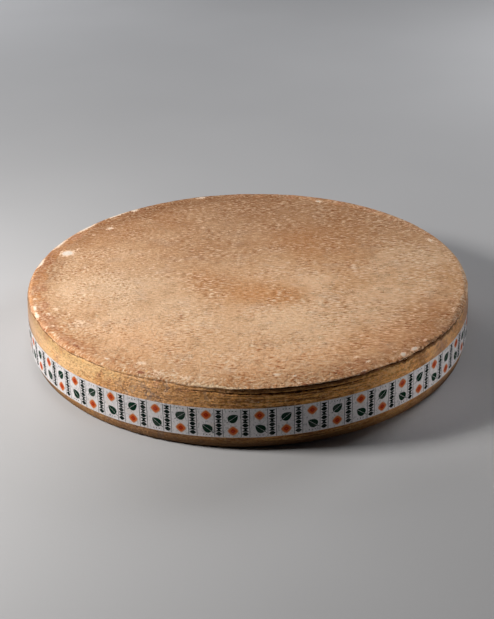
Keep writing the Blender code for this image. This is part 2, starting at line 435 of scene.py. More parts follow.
def crust(point):
    """Height of the dry crust, mostly downwards."""
    return waves_height(CRUST_WAVES, point) - CRUST_SINK - pit_depth(point)


def rough_side(angle, point):
    """Scabs and hollows where the side is rough."""
    patchy = noise.noise(Vector((point.x, point.y, point.z * 1.6)) * ROUGH_SIDE_SCALE)
    return stretch_depth(ROUGH_SIDE_STRETCHES, angle) * (patchy - 0.3)


def crumbs(angle, below, point):
    """Torn edge of the lip: short bites out of it, and a few crumbs left."""
    near_lip = 1.0 - eased(abs(below + 0.0006), 0.0, 0.0028)
    torn = sum(noise.noise(point * scale) for scale in CRUMB_SCALES)
    return near_lip * stretch_depth(CRUMB_STRETCHES, angle) * (torn - 0.25)


def crack_wander(angle, direction):
    """How far the crack strays up or down from its path, in short jags at some angles."""
    jags = waves_height(CRACK_JAGS, direction) * stretch_share(JAGGED_STRETCHES, angle)
    return waves_height(CRACK_WANDERS, direction) + jags


def crack_cut(angle, below, direction):
    """Depth of the ragged crack under the lip, of its branch, and of the crease at the recess's foot."""
    jagged = stretch_share(JAGGED_STRETCHES, angle)
    rough = noise.noise(direction * CRACK_RAGGED_SCALE)
    ragged = max(0.0, 1.0 - 0.2 * jagged + (0.9 + 1.4 * jagged) * rough)
    crack = stretch_depth(CRACK_STRETCHES, angle) * cleft(below, CRACK_HALF_HEIGHT * (1.0 + 0.5 * jagged))
    crack *= 1.0 - stretch_share(CRACK_GAPS, angle)
    branch = BRANCH_DEPTH * jagged * cleft(below + BRANCH_ABOVE_CRACK, BRANCH_HALF_HEIGHT)
    branch *= eased(noise.noise(direction * BRANCH_SCALE), -0.1, 0.2)
    crease = stretch_depth(CREASE_STRETCHES, angle) * cleft(below - CREASE_BELOW_CRACK, CREASE_HALF_HEIGHT)
    return ragged * (crack + branch + crease)


def crack_grime_and_shade_share(angle, below, radius):
    """How dark the rind is round the crack, as grime and as painted shade on the lip's lower face, with a
    fainter halo on the top above some of it.
    """
    near = cleft(below - 0.0002, 0.006 if below > 0.0002 else 0.003)
    halo = 0.6 * cleft(below + 0.004, 0.01) * eased(radius, *HALO_RADII)
    halo *= stretch_share(CRACK_HALOS, angle)
    return min(1.0, stretch_depth(CRACK_STRETCHES, angle) / GRIME_AND_SHADE_WHOLE_DEPTH) * max(near, halo)


def patch_share(patches, angle, radius):
    """How much a point of the top lies in one of the patches: its strength in the middle, 0 far outside."""
    share = 0.0
    for middle, ring, along, across, strength in patches:
        away = (angle - middle + 180.0) % 360.0 - 180.0
        side = math.radians(away) * ring / along
        out = (radius - ring) / across
        reach = side * side + out * out
        if reach < 5.0:
            share = max(share, strength * math.exp(-reach))
    return share


def clear_of_label(point):
    """0 behind the label strip, so that the rind stays under it, and 1 away from it."""
    z = point.z - LABEL_SLOPE * point.x
    above = eased(z, LABEL_TOP_Z - 0.001, LABEL_TOP_Z + 0.004)
    below = 1.0 - eased(z, LABEL_BOTTOM_Z - 0.004, LABEL_BOTTOM_Z + 0.001)
    return max(above, below)


def area_share(areas, point):
    """How much a point of the top lies in soft round areas."""
    share = 0.0
    for x, y, half_width in areas:
        share += math.exp(-((point.x - x) ** 2 + (point.y - y) ** 2) / half_width ** 2)
    return min(1.0, share)


def top_shares(flat, radius, angle):
    """Numbers for the colours of the top, by name."""
    shares = {
        "outer": eased(radius, *OUTER_RADII) * eased(flat.x, *OUTER_X),
        "level": eased(flat.x, *LEVEL_X) * (1.0 - eased(radius, *LEVEL_END_RADII)),
        # Far half: browner rind and painted shade
        "far": eased(flat.y, *FAR_Y),
        "rim": 0.3,
        "dark_rim": 0.0,
    }
    on_top = flat.z > LIP_Z
    if on_top:
        edge = 1.0 - 0.6 * eased(radius, *RIM_EDGE_RADII)
        shares["rim"] = eased(radius, *RIM_TINT_RADII) * (0.3 + stretch_depth(TINTED_RIM, angle))
        shares["dark_rim"] = eased(radius, *DARK_RIM_RADII) * edge * stretch_share(DARK_RIM, angle)
    for name, areas in TOP_AREAS.items():
        shares[name] = area_share(areas, flat) if on_top else 0.0
    return shares


def side_shares(flat, radius, angle, below):
    """Numbers for the colours of the side, the lip and the crack, by name."""
    shares = {name: stretch_share(stretches, angle) for name, stretches in SIDE_LOOKS.items()}
    is_base = flat.z < 0.001 and radius <= BASE_FLAT_RADIUS
    upper = eased(flat.z, LABEL_TOP_Z - 0.01, LABEL_TOP_Z)
    lip = eased(radius, *FLAKY_RADII) * cleft(below + 0.0028, 0.003)
    low = 1.0 - eased(flat.z, *FOOT_END_Z)
    shares["below"] = -2.0 if is_base else min(3.0, below / 0.004)
    # Grime and painted shade round the crack and on the lip's lower face
    shares["crack_grime_and_shade"] = crack_grime_and_shade_share(angle, below, radius)
    # Pale flakes on the lip, partly a painted highlight
    shares["flakes_and_highlight"] = stretch_depth(FLAKY_LIP_AND_HIGHLIGHT, angle) * lip
    shares["yellow"] = upper * stretch_depth(YELLOW_SIDE, angle + YELLOW_LEAN * (LIP_Z - flat.z))
    # Painted shade under the rim
    shares["under"] = stretch_depth(UNDER_RIM, angle) * (1.0 - eased(below, *UNDER_END_DROP))
    # Painted shade on the low side, where little light reaches
    shares["foot"] = low * (0.75 + stretch_depth(FOOT_SHADE, angle))
    return shares


def rind_point(flat):
    """Place of a point of the turned section on the uneven rind, and what its colours need."""
    radius = math.hypot(flat.x, flat.y)
    angle = math.degrees(math.atan2(flat.y, flat.x))
    direction = Vector((flat.x, flat.y, 0.0)).normalized()
    below = crack_height(angle) + crack_wander(angle, direction) - flat.z
    faces_up = eased(flat.z, LIP_Z - 0.001, TOP_MIDDLE_Z - TOP_CROWN - 0.0005)
    sloped = stretch_share(SLOPE_STRETCHES, angle) * eased(flat.z, LIP_Z, LIP_Z + 0.001)
    faces_up = max(faces_up, sloped)
    patch, scab, cut, recess = 0.0, 0.0, 0.0, 0.0
    if radius > PATCH_LEAST_RADIUS and flat.z > PATCH_LEAST_Z:
        outwards = radius if flat.z > LIP_Z else SHOULDER_REACH + LIP_Z - flat.z
        patch = patch_share(PATCHES, angle, outwards)
        scab = patch_share(SCABS, angle, outwards)

    change = outline_swell(angle) * radius / SIDE_RADIUS
    if radius > BASE_FLAT_RADIUS or flat.z < LIP_Z:
        cut = crack_cut(angle, below, direction)
        recess = groove_cut(angle, below)
        edge = lip_change(angle, below, flat) + crumbs(angle, below, flat)
        change += edge - cut - recess - side_dent(flat) + SCAB_HEIGHT * scab * (1.0 - faces_up)
    height = eased(flat.z, 0.0, FOOT_ROUND) * crust(flat)
    change += clear_of_label(flat) * (1.0 - faces_up) * (height + rough_side(angle, flat))
    moved = direction * (radius + change)
    moved.z = flat.z + top_wave(flat) - edge_slope(angle, radius, flat.z)
    moved.z += faces_up * (height + PATCH_HEIGHT * (patch + scab))

    # Cracks darkened by their depth: dirt and painted shade
    shares = {"patch": patch, "scab": scab, "crack_dirt_and_shade": eased(cut, *CRACK_DIRT_AND_SHADE_DEPTHS)}
    # Painted shade in the recess below the crack, by its depth
    shares["recess"] = min(1.0, recess / RECESS_WHOLE_DEPTH)
    shares.update(top_shares(flat, radius, angle))
    shares.update(side_shares(flat, radius, angle, below))
    return moved, shares


# Meshes

def bent_grid_point(column, row):
    """Point of the unit disc for a corner of a square grid, at even angles on each square ring."""
    across, along = column / GRID_HALF, row / GRID_HALF
    if column == 0 and row == 0:
        return 0.0, 0.0
    if abs(across) >= abs(along):
        reach, turn = across, math.pi / 4.0 * along / across
    else:
        reach, turn = along, math.pi / 2.0 - math.pi / 4.0 * across / along
    return reach * math.cos(turn), reach * math.sin(turn)


def top_grid():
    """Points and faces of the flat top, and its rim's point numbers in order of angle."""
    span = range(-GRID_HALF, GRID_HALF + 1)
    width = 2 * GRID_HALF + 1
    points = []
    for row in span:
        for column in span:
            x, y = bent_grid_point(column, row)
            height = TOP_MIDDLE_Z - TOP_CROWN * math.hypot(x, y) ** 2
            points.append(Vector((x * TOP_FLAT_RADIUS, y * TOP_FLAT_RADIUS, height)))
    faces = []
    for row in range(width - 1):
        for column in range(width - 1):
            corner = row * width + column
            faces.append((corner, corner + 1, corner + 1 + width, corner + width))
    ends = (0, width - 1)
    rim = [i for i in range(width * width) if i % width in ends or i // width in ends]
    rim.sort(key=lambda i: math.atan2(points[i].y, points[i].x))
    return points, faces, rim


def new_mesh_object(name, points, faces):
    """A smooth-shaded mesh object in the scene."""
    mesh = bpy.data.meshes.new(name)
    mesh.from_pydata([tuple(point) for point in points], [], faces)
    mesh.validate()
    mesh.shade_smooth()
    item = bpy.data.objects.new(name, mesh)
    bpy.context.scene.collection.objects.link(item)
    return item


def make_wheel():
    """The whole rind as one closed mesh, with the named shares stored at its points."""
    flat_points, faces, rim = top_grid()
    angles = [math.degrees(math.atan2(flat_points[i].y, flat_points[i].x)) for i in rim]
    count = len(rim)
    upper = rim
    for radius, z in outer_section():
        start = len(flat_points)
        flat_points.extend(polar(angle, radius, z) for angle in angles)
        lower = list(range(start, start + count))
        for i in range(count):
            after = (i + 1) % count
            faces.append((upper[i], lower[i], lower[after], upper[after]))
        upper = lower
    centre = len(flat_points)
    flat_points.append(Vector((0.0, 0.0, 0.0)))
    faces.extend((upper[i], centre, upper[(i + 1) % count]) for i in range(count))

    points = []
    shares = {}
    for flat in flat_points:
        moved, point_shares = rind_point(flat)
        points.append(moved)
        for name, share in point_shares.items():
            shares.setdefault(name, []).append(share)
    wheel = new_mesh_object("cheese_rind", points, faces)
    for name, values in shares.items():
        wheel.data.attributes.new(name, "FLOAT", "POINT").data.foreach_set("value", values)
    return wheel


def strip_lift(angle):
    """Extra radius near the strip's end, where it lies on its own start."""
    end = STRIP_SEAM_ANGLE + 360.0
    return eased(angle, end - STRIP_LIFT_ANGLE, end) * (STRIP_THICKNESS + STRIP_GAP * 0.5)


def strip_point(angle, share, lift):
    """Point of the label strip at an angle and a share of its height from the bottom, off its back."""
    direction = polar(angle, 1.0, 0.0)
    z = LABEL_BOTTOM_Z + (LABEL_TOP_Z - LABEL_BOTTOM_Z) * share
    wave = STRIP_WAVE * (1.0 + noise.noise(direction * 9.0 + Vector((0.0, 0.0, z * 22.0))))
    radius = SIDE_RADIUS + STRIP_GAP + wave + strip_lift(angle) + lift + outline_swell(angle)
    height = z + LABEL_SLOPE * SIDE_RADIUS * direction.x + STRIP_EDGE_WANDER * noise.noise(direction * 14.0)
    return polar(angle, radius, height)


def make_label():
    """The paper strip, a closed thin band that overlaps its own start."""
    span = 360.0 + STRIP_OVERLAP_ANGLE
    columns = int(STRIP_STEPS * span / 360.0)
    loop = [(i / STRIP_ROWS, STRIP_THICKNESS) for i in range(STRIP_ROWS, -1, -1)] + [(0.0, 0.0), (1.0, 0.0)]
    points = []
    for column in range(columns + 1):
        angle = STRIP_SEAM_ANGLE + span * column / columns
        points.extend(strip_point(angle, share, lift) for share, lift in loop)
    size = len(loop)
    faces = [tuple(range(size)), tuple(columns * size + i for i in reversed(range(size)))]
    for column in range(columns):
        for i in range(size):
            after = (i + 1) % size
            here, ahead = column * size, (column + 1) * size
            faces.append((here + i, here + after, ahead + after, ahead + i))
    label = new_mesh_object("label_strip", points, faces)
    label.data.set_sharp_from_angle(angle=math.radians(SHARP_ANGLE))
    return label


# Print on the label: flat shapes in a cell, in millimetres from its left edge and the strip's bottom.
# A shape is a row of pairs of points across it, and whether the row closes on itself.

def turned_pairs(pairs, x, y, tilt=0.0):
    """Pairs of points turned by an angle and then moved."""
    turn = math.radians(tilt)
    across, along = math.cos(turn), math.sin(turn)
    return [[(x + a * across - b * along, y + a * along + b * across) for a, b in pair] for pair in pairs]


def leaf(x, y, length, width, tilt):
    """Two halves of a pointed leaf with a thin bare midrib between them, and a short stalk."""
    stations = 9
    rib = 0.22
    shapes = []
    for side in (-1.0, 1.0):
        pairs = []
        for i in range(stations):
            share = i / (stations - 1)
            along = (share - 0.5) * length
            bulge = 0.1 + width * 0.5 * math.sin(math.pi * share ** 0.8) ** 0.75
            pairs.append([(along, side * rib), (along - 0.1 * bulge, side * (rib + bulge))])
        shapes.append((turned_pairs(pairs, x, y, tilt), False))
    stalk = [[(-length * way, -0.35), (-length * way, 0.35)] for way in (0.72, 0.5)]
    shapes.append((turned_pairs(stalk, x, y, tilt), False))
    return shapes


def round_lozenge_edge(reach, angle):
    """Point of the edge of a lozenge with bulging sides, at an angle in degrees."""
    turn = math.radians(angle)
    across, up = abs(math.cos(turn)), abs(math.sin(turn))
    bulge = 1.35
    distance = reach / (across ** bulge + up ** bulge) ** (1.0 / bulge)
    return distance * math.cos(turn), distance * math.sin(turn)


def lozenge_ring(x, y, outer, inner):
    """A ring between two lozenges with bulging sides."""
    steps = 20
    pairs = []
    for i in range(steps):
        angle = 360.0 * i / steps
        pairs.append([round_lozenge_edge(outer, angle), round_lozenge_edge(inner, angle)])
    return [(turned_pairs(pairs, x, y), True)]


def waisted(x, y, middle, ends, tall):
    """A shape with one width at its middle and one at both ends: a blunt lozenge or an hourglass."""
    widths = ((-tall, ends), (0.0, middle), (tall, ends))
    pairs = [[(width, height), (-width, height)] for height, width in widths]
    return [(turned_pairs(pairs, x, y), False)]


def bar(x, y, across, tall):
    """An upright rule or bar."""
    steps = max(2, int(tall / 5.0))
    pairs = []
    for i in range(steps):
        height = tall * (2.0 * i / (steps - 1) - 1.0)
        pairs.append([(x + across, y + height), (x - across, y + height)])
    return [(pairs, False)]


def pattern_column(x, y):
    """Upright column of broad lozenges and hourglasses in turn."""
    pitch = 6.3
    links = 6
    broad, narrow, tall = 4.4, 1.2, 2.9
    shapes = []
    for i in range(links):
        middle, ends = (broad, narrow) if i % 2 == 0 else (narrow, broad)
        shapes += waisted(x, y + pitch * (i - (links - 1) / 2.0), middle, ends, tall)
    return shapes


def cell_shapes(number):
    """Shapes of a cell by ink. Leaf and lozenge change places from cell to cell."""
    is_even = number % 2 == 0
    leaf_y, lozenge_y = (28.2, 9.8) if is_even else (13.0, 32.2)
    tilt = 38.0 if is_even else 142.0
    middle = FIELD_MIDDLE
    rules = bar(COLUMN_MIDDLE - RULE_AWAY, STRIP_MIDDLE, 0.32, 20.3)
    rules += bar(COLUMN_MIDDLE + RULE_AWAY, STRIP_MIDDLE, 0.32, 20.3)
    for side in (-4.0, 0.0, 4.0):
        rules += waisted(middle + side, 38.6 if is_even else 3.4, 0.8, 0.12, 0.8)
    return {
        "green": leaf(middle + 0.6, leaf_y, 15.0, 11.5, tilt),
        "dark": pattern_column(COLUMN_MIDDLE, STRIP_MIDDLE),
        "peach": lozenge_ring(middle, lozenge_y, 7.2, 6.0),
        "orange": lozenge_ring(middle, lozenge_y, 6.0, 3.4),
        "rust": lozenge_ring(middle, lozenge_y, 3.4, 0.2),
        "grey": rules,
    }


def faces_outwards(corners):
    """Whether the pairs run so that their plate faces out of the wheel."""
    (x, y), (x_over, y_over) = corners[0]
    x_on, y_on = corners[1][0]
    return (x_on - x) * (y_over - y) - (y_on - y) * (x_over - x) > 0.0


def add_plate(points, faces, corners, is_ring):
    """Add a thin closed plate between two edges, from the label's surface outwards."""
    if not faces_outwards(corners):
        corners = [pair[::-1] for pair in corners]
    base = len(points)
    for pair in corners:
        for angle, share in pair:
            points.append(strip_point(angle, share, STRIP_THICKNESS + INK_HEIGHT))
        for angle, share in pair:
            points.append(strip_point(angle, share, STRIP_THICKNESS - INK_SINK))
    count = len(corners)
    links = count if is_ring else count - 1
    for i in range(links):
        here = base + 4 * i
        ahead = base + 4 * ((i + 1) % count)
        for near, far in ((0, 1), (3, 2), (2, 0), (1, 3)):
            faces.append((here + near, ahead + near, ahead + far, here + far))
    if not is_ring:
        last = base + 4 * (count - 1)
        faces.append((base, base + 1, base + 3, base + 2))
        faces.append((last + 1, last, last + 2, last + 3))


def make_print():
    """One object for each ink, with that ink's shapes in every cell."""
    plates = {}
    first = STRIP_SEAM_ANGLE + STRIP_OVERLAP_ANGLE
    cell_angle = 360.0 / CELL_COUNT
    mm_to_angle = math.degrees(0.001 / SIDE_RADIUS)
    mm_to_share = 0.001 / (LABEL_TOP_Z - LABEL_BOTTOM_Z)
    for number in range(CELL_COUNT):
        left = first + cell_angle * number
        for ink, shapes in cell_shapes(number).items():
            points, faces = plates.setdefault(ink, ([], []))
            for pairs, is_ring in shapes:
                corners = [[(left + x * mm_to_angle, y * mm_to_share) for x, y in pair] for pair in pairs]
                add_plate(points, faces, corners, is_ring)
    inks = {}
    for ink, (points, faces) in plates.items():
        inks[ink] = new_mesh_object("label_print_" + ink, points, faces)
        inks[ink].data.set_sharp_from_angle(angle=math.radians(SHARP_ANGLE))
    return inks


# Material building

class Paint:
    """A node material under construction. Colours are linear, and sizes are in metres."""

    def __init__(self, name, roughness, specular=0.3):
        self.material = bpy.data.materials.new(name)
        self.material.use_nodes = True
        self.tree = self.material.node_tree
        self.shader = self.tree.nodes["Principled BSDF"]
        self.shader.inputs["Roughness"].default_value = roughness
        self.shader.inputs["Specular IOR Level"].default_value = specular
        self.place = self.new("TexCoord").outputs["Object"]

    def new(self, kind):
        return self.tree.nodes.new("ShaderNode" + kind)

    def feed(self, node, values):
        """Set inputs of a node, each to a plain value or to another node's output."""
        for name, value in values.items():
            if isinstance(value, bpy.types.NodeSocket):
                self.tree.links.new(value, node.inputs[name])
            else:
                node.inputs[name].default_value = value
        return node.outputs

    def noise(self, scale, detail=2, roughness=0.5, stretch=None, distortion=0.0):
        """Soft noise from about 0.3 to 0.7. The scale counts features in a metre, and stretch is by axis."""
        place = self.place
        if stretch:
            place = self.feed(self.new("Mapping"), {"Vector": place, "Scale": stretch})["Vector"]
        values = {"Scale": scale, "Detail": detail, "Roughness": roughness, "Distortion": distortion}
        return self.feed(self.new("TexNoise"), {"Vector": place, **values})["Fac"]

    def cells(self, scale):
        """Distance to the nearest of many scattered points, 0 at a point."""
        return self.feed(self.new("TexVoronoi"), {"Vector": self.place, "Scale": scale})["Distance"]

    def share(self, name):
        """A number stored at each point of the mesh."""
        node = self.new("Attribute")
        node.attribute_name = name
        return node.outputs["Fac"]

    def span(self, value, low, high, to_low=0.0, to_high=1.0):
        """Stretch of a value between low and high, with soft ends."""
        node = self.new("MapRange")
        node.interpolation_type = "SMOOTHSTEP"
        ends = {"From Min": low, "From Max": high, "To Min": to_low, "To Max": to_high}
        return self.feed(node, {"Value": value, **ends})["Result"]

    def arithmetic(self, operation, first, second=0.0):
        """Arithmetic on two values, either of which may be a plain number."""
        node = self.new("Math")
        node.operation = operation
        return self.feed(node, {0: first, 1: second})["Value"]

    def plus(self, first, second):
        return self.arithmetic("ADD", first, second)

    def minus(self, first, second):
        return self.arithmetic("SUBTRACT", first, second)

    def times(self, first, second):
        return self.arithmetic("MULTIPLY", first, second)

    def mix(self, share, first, second, blend="MIX"):
        """Colour between two colours, by a share."""
        node = self.new("Mix")
        node.data_type = "RGBA"
        node.blend_type = blend
        colours = [(*colour, 1.0) if isinstance(colour, tuple) else colour for colour in (first, second)]
        return self.feed(node, {0: share, 6: colours[0], 7: colours[1]})[2]

    def layers(self, colour, *coats):
        """Colour with coats over it, each as its colour, its share and how much of it shows."""
        for coat, share, amount in coats:
            colour = self.mix(self.times(share, amount), colour, coat)
        return colour

    def tint(self, colour, tint, share):
        """Colour deepened by a tint, by a share."""
        return self.mix(share, colour, tint, "MULTIPLY")

    def bump(self, height, distance, under=None):
        """Normal from a height, where a height of 1 stands the distance up."""
        node = self.new("Bump")
        if under:
            self.tree.links.new(under, node.inputs["Normal"])
        return self.feed(node, {"Strength": 1.0, "Distance": distance, "Height": height})["Normal"]

    def finish(self, colour, normal, roughness=None):
        """Join the colour, the normal and, if it varies, the roughness to the shader."""
        self.feed(self.shader, {"Base Color": colour, "Normal": normal})
        if roughness:
            self.tree.links.new(roughness, self.shader.inputs["Roughness"])
        return self.material


# Rind colours, linear
TAN = (0.74, 0.41, 0.205)
PALE_TAN = (0.915, 0.605, 0.37)
# Pale haze and painted light on the left of the top
HAZE_AND_PAINTED_LIGHT_TAN = (0.735, 0.52, 0.345)
BROWN_TAN = (0.45, 0.225, 0.1)
# Browner rind and painted shade for the far half of the top
FAR_BROWN_AND_SHADE = (0.37, 0.2, 0.098)
DEEP_BROWN = (0.17, 0.07, 0.024)
PINK_BROWN = (0.64, 0.31, 0.17)
ORANGE_TAN = (0.71, 0.34, 0.14)
STAIN_TAN = (0.68, 0.31, 0.115)
GREY_BLOOM = (0.69, 0.48, 0.35)
SIDE_BROWN = (0.7, 0.315, 0.095)
SIDE_OCHRE = (0.95, 0.47, 0.155)
SIDE_GOLD = (1.0, 0.58, 0.21)
SIDE_GREY = (0.37, 0.255, 0.21)
LILAC_BROWN = (0.33, 0.2, 0.15)
YELLOW_TAN = (0.95, 0.6, 0.29)
# Dark brown of the cracks: dirt and painted shade
CRACK_BROWN_AND_SHADE = (0.095, 0.033, 0.009)
# Brown of blotches on the side, also used as painted shade in the recess
BLOTCH_BROWN_AND_RECESS_SHADE = (0.3, 0.135, 0.045)
# Painted shade on the low side towards the foot
PAINTED_FOOT_SHADE = (0.11, 0.055, 0.024)
MOULD_WHITE = (0.95, 0.845, 0.74)
MOULD_CREAM = (1.0, 0.72, 0.5)
# Pale flakes and a painted highlight on the lip's edge
FLAKE_AND_HIGHLIGHT_TAN = (1.0, 0.74, 0.48)
FLECK_TAN = (1.0, 0.78, 0.56)
# Dimmer flecks for the far half: browner rind and painted shade
FAR_FLECK_AND_SHADE = (0.86, 0.61, 0.41)
SCAB_RED = (0.33, 0.11, 0.055)

# Paper and floor colours, linear
PAPER_WHITE = (0.8, 0.765, 0.775)
PAPER_SHADE = (0.7, 0.665, 0.675)
PAPER_SOIL = (0.62, 0.5, 0.4)
PAPER_SPECK = (0.36, 0.37, 0.38)
BARE_PAPER = (0.62, 0.58, 0.57)
FLOOR_DIM = (0.5, 0.5, 0.51)
FLOOR_PALE = (0.52, 0.52, 0.53)

# Grain of the rind: features in a metre along each axis
GRAIN = (205.0, 370.0, 290.0)
LONG_GRAIN = (125.0, 400.0, 290.0)

# Tints that deepen a colour
DARK_RIM_TINT = (0.73, 0.66, 0.59)
RUDDY_TINT = (0.95, 0.85, 0.77)
# Painted shade under the rim
PAINTED_UNDER_RIM_SHADE = (0.48, 0.47, 0.33)
# Deepens the far half of the top: browner rind and painted shade
FAR_BROWN_AND_SHADE_TINT = (0.8, 0.7, 0.62)
STREAKY_TINT = (1.0, 0.92, 0.72)
DUSK_TINT = (0.58, 0.34, 0.18)


def top_ground(paint, broad, middle):
    """Mottled tan of the pressed top, with its stains, its browner zones and a painted cast shadow, paler
    near and left parts that are partly painted light, and a far half darker as browner rind and painted
    shade.
    """
    far = paint.share("far")
    colour = paint.layers(
        paint.mix(paint.span(broad, 0.4, 0.64), TAN, PALE_TAN),
        # Paler rind and painted light on the near and left part of the top
        (PALE_TAN, paint.share("pale"), 0.5),
        (HAZE_AND_PAINTED_LIGHT_TAN, paint.share("haze_and_painted_light"), 0.55),
        (BROWN_TAN, paint.span(middle, 0.52, 0.7), 0.35),
        (GREY_BLOOM, paint.span(paint.noise(30), 0.55, 0.7), 0.35),
        (STAIN_TAN, paint.share("stain"), 0.9),
        # Browner zones and a painted cast shadow
        (BROWN_TAN, paint.share("brown_zone_and_shadow"), 0.35),
        # Far half darker: browner rind and painted shade
        (FAR_BROWN_AND_SHADE, far, 0.45),
    )
    return paint.tint(colour, FAR_BROWN_AND_SHADE_TINT, far)


def rim_ground(paint):
    """Pinkish and orange-brown zone round the top's edge."""
    patchy = paint.noise(38, 3, 0.6)
    close = paint.noise(120, 3, 0.65)
    return paint.layers(
        paint.mix(paint.span(patchy, 0.44, 0.6), PINK_BROWN, ORANGE_TAN),
        (BROWN_TAN, paint.span(close, 0.5, 0.68), 0.65),
        (PALE_TAN, paint.span(close, 0.46, 0.34), 0.45),
    )


def grained(paint, colour, broad, middle):
    """The top's colour with its grain, stronger in some patches, its pores and its crumbs."""
    outer = paint.share("outer")
    # The far share marks browner rind and painted shade on the far half
    far = paint.share("far")
    close = paint.noise(150, 3, 0.65, stretch=(0.6, 2.0, 1.5), distortion=0.5)
    short_grain = paint.noise(1, 3, 0.6, stretch=GRAIN)
    long_grain = paint.noise(1, 3, 0.6, stretch=LONG_GRAIN, distortion=0.3)
    change = paint.times(paint.share("level"), paint.minus(long_grain, short_grain))
    grain = paint.plus(short_grain, change)
    strength = paint.span(paint.noise(26), 0.4, 0.62, 0.55, 1.45)
    fleck_strength = paint.plus(strength, paint.times(outer, 0.6))
    strength = paint.plus(strength, paint.times(outer, 0.15))
    strength = paint.minus(strength, paint.times(far, 0.2))
    brown = (BROWN_TAN, paint.span(close, 0.53, 0.68), 0.4)
    pale = (PALE_TAN, paint.span(close, 0.47, 0.35), 0.4)
    dusk = paint.times(paint.span(grain, 0.49, 0.74), strength)
    pore = paint.times(paint.span(paint.cells(240), 0.26, 0.12), paint.span(middle, 0.5, 0.6))
    crumb = paint.times(paint.span(paint.cells(170), 0.17, 0.07), paint.span(broad, 0.44, 0.56))
    return paint.layers(
        paint.tint(paint.layers(colour, brown, pale), DUSK_TINT, dusk),
        (paint.mix(far, FLECK_TAN, FAR_FLECK_AND_SHADE), paint.span(grain, 0.49, 0.29), fleck_strength),
        (DEEP_BROWN, pore, 0.6),
        (MOULD_WHITE, crumb, paint.span(far, 0.2, 1.0, 0.45, 0.2)),
    )


def yellow_ground(paint, patchy, blotches, close):
    """Smooth yellow-tan rind with soft brown and ochre in it."""
    return paint.layers(
        YELLOW_TAN,
        (BROWN_TAN, paint.span(close, 0.51, 0.64), 0.6),
        (PINK_BROWN, paint.span(patchy, 0.52, 0.66), 0.6),
        (SIDE_OCHRE, paint.span(blotches, 0.56, 0.66), 0.5),
    )


def side_colour(paint):
    """Brown rind of the side: level streaks, speckled and blotchy stretches, and yellow-tan ones, with
    painted shade in the recess, under the rim, at its right edge and towards the foot.
    """
    streaks = paint.noise(60, 3, 0.6, stretch=(0.5, 0.5, 9.0))
    patchy = paint.noise(34, 3, 0.6, stretch=(1.0, 1.0, 1.4))
    close = paint.noise(260, 2, 0.65, stretch=(0.8, 0.8, 1.8))
    blotches = paint.noise(80, 3, 0.6)
    soft = paint.noise(68, 3, 0.65, stretch=(0.8, 0.8, 1.2))
    streaky = paint.share("streaky")
    speckled = paint.share("speckled")
    blotchy = paint.share("blotchy")
    grey_amount = paint.plus(paint.times(speckled, 0.5), 0.35)
    brown_amount = paint.plus(paint.times(speckled, 0.4), 0.3)
    brown_amount = paint.plus(paint.times(blotchy, 0.5), brown_amount)
    level_amount = paint.plus(paint.times(streaky, 0.8), 0.12)
    blotch_amount = paint.times(blotchy, 0.75)
    close_amount = paint.minus(1.0, paint.times(blotchy, 0.6))
    fleck = paint.mix(paint.times(speckled, 0.8), DEEP_BROWN, LILAC_BROWN)
    yellow_share = paint.plus(paint.share("yellow"), paint.times(paint.minus(blotches, 0.5), 2.0))
    colour = paint.layers(
        paint.mix(paint.span(patchy, 0.42, 0.6), SIDE_BROWN, SIDE_OCHRE),
        (SIDE_BROWN, streaky, 0.5),
        (TAN, speckled, 0.5),
        (SIDE_GREY, paint.span(blotches, 0.53, 0.62), grey_amount),
        (PINK_BROWN, paint.span(blotches, 0.46, 0.38), brown_amount),
        (DEEP_BROWN, paint.span(streaks, 0.5, 0.57), level_amount),
        (SIDE_GOLD, paint.span(streaks, 0.48, 0.4), level_amount),
        (BLOTCH_BROWN_AND_RECESS_SHADE, paint.span(soft, 0.52, 0.62), blotch_amount),
        (SIDE_GOLD, paint.span(soft, 0.48, 0.38), blotch_amount),
        (fleck, paint.span(close, 0.5, 0.7, 0.0, 0.8), close_amount),
        (PALE_TAN, paint.span(close, 0.49, 0.32, 0.0, 0.6), close_amount),
        (yellow_ground(paint, patchy, blotches, close), paint.span(yellow_share, 0.25, 0.65), 1.0),
        # Grey rind, and painted shade at the side's right edge
        (SIDE_GREY, paint.share("grey"), 0.75),
    )
    colour = paint.tint(colour, STREAKY_TINT, streaky)
    # Painted shade in the recess below the crack
    colour = paint.layers(colour, (BLOTCH_BROWN_AND_RECESS_SHADE, paint.share("recess"), 0.5))
    # Painted shade under the rim
    colour = paint.tint(colour, PAINTED_UNDER_RIM_SHADE, paint.share("under"))
    # Painted shade darkening the low side towards the foot
    return paint.layers(colour, (PAINTED_FOOT_SHADE, paint.share("foot"), 0.8))


def ragged_noise(paint, scale):
    """Noise round 0 with fine detail."""
    return paint.minus(paint.noise(scale, 3, 0.7), 0.5)


def ragged_share(paint, name, scale, amount):
    """A stored number with noise added to it."""
    return paint.plus(paint.share(name), paint.times(ragged_noise(paint, scale), amount))


def ragged_spots(paint, name, scale, amount, edge, reach):
    """Spots where a stored number with noise added is high, none of them where the number is 0."""
    spots = paint.span(ragged_share(paint, name, scale, amount), *edge)
    return paint.times(spots, paint.span(paint.share(name), *reach))


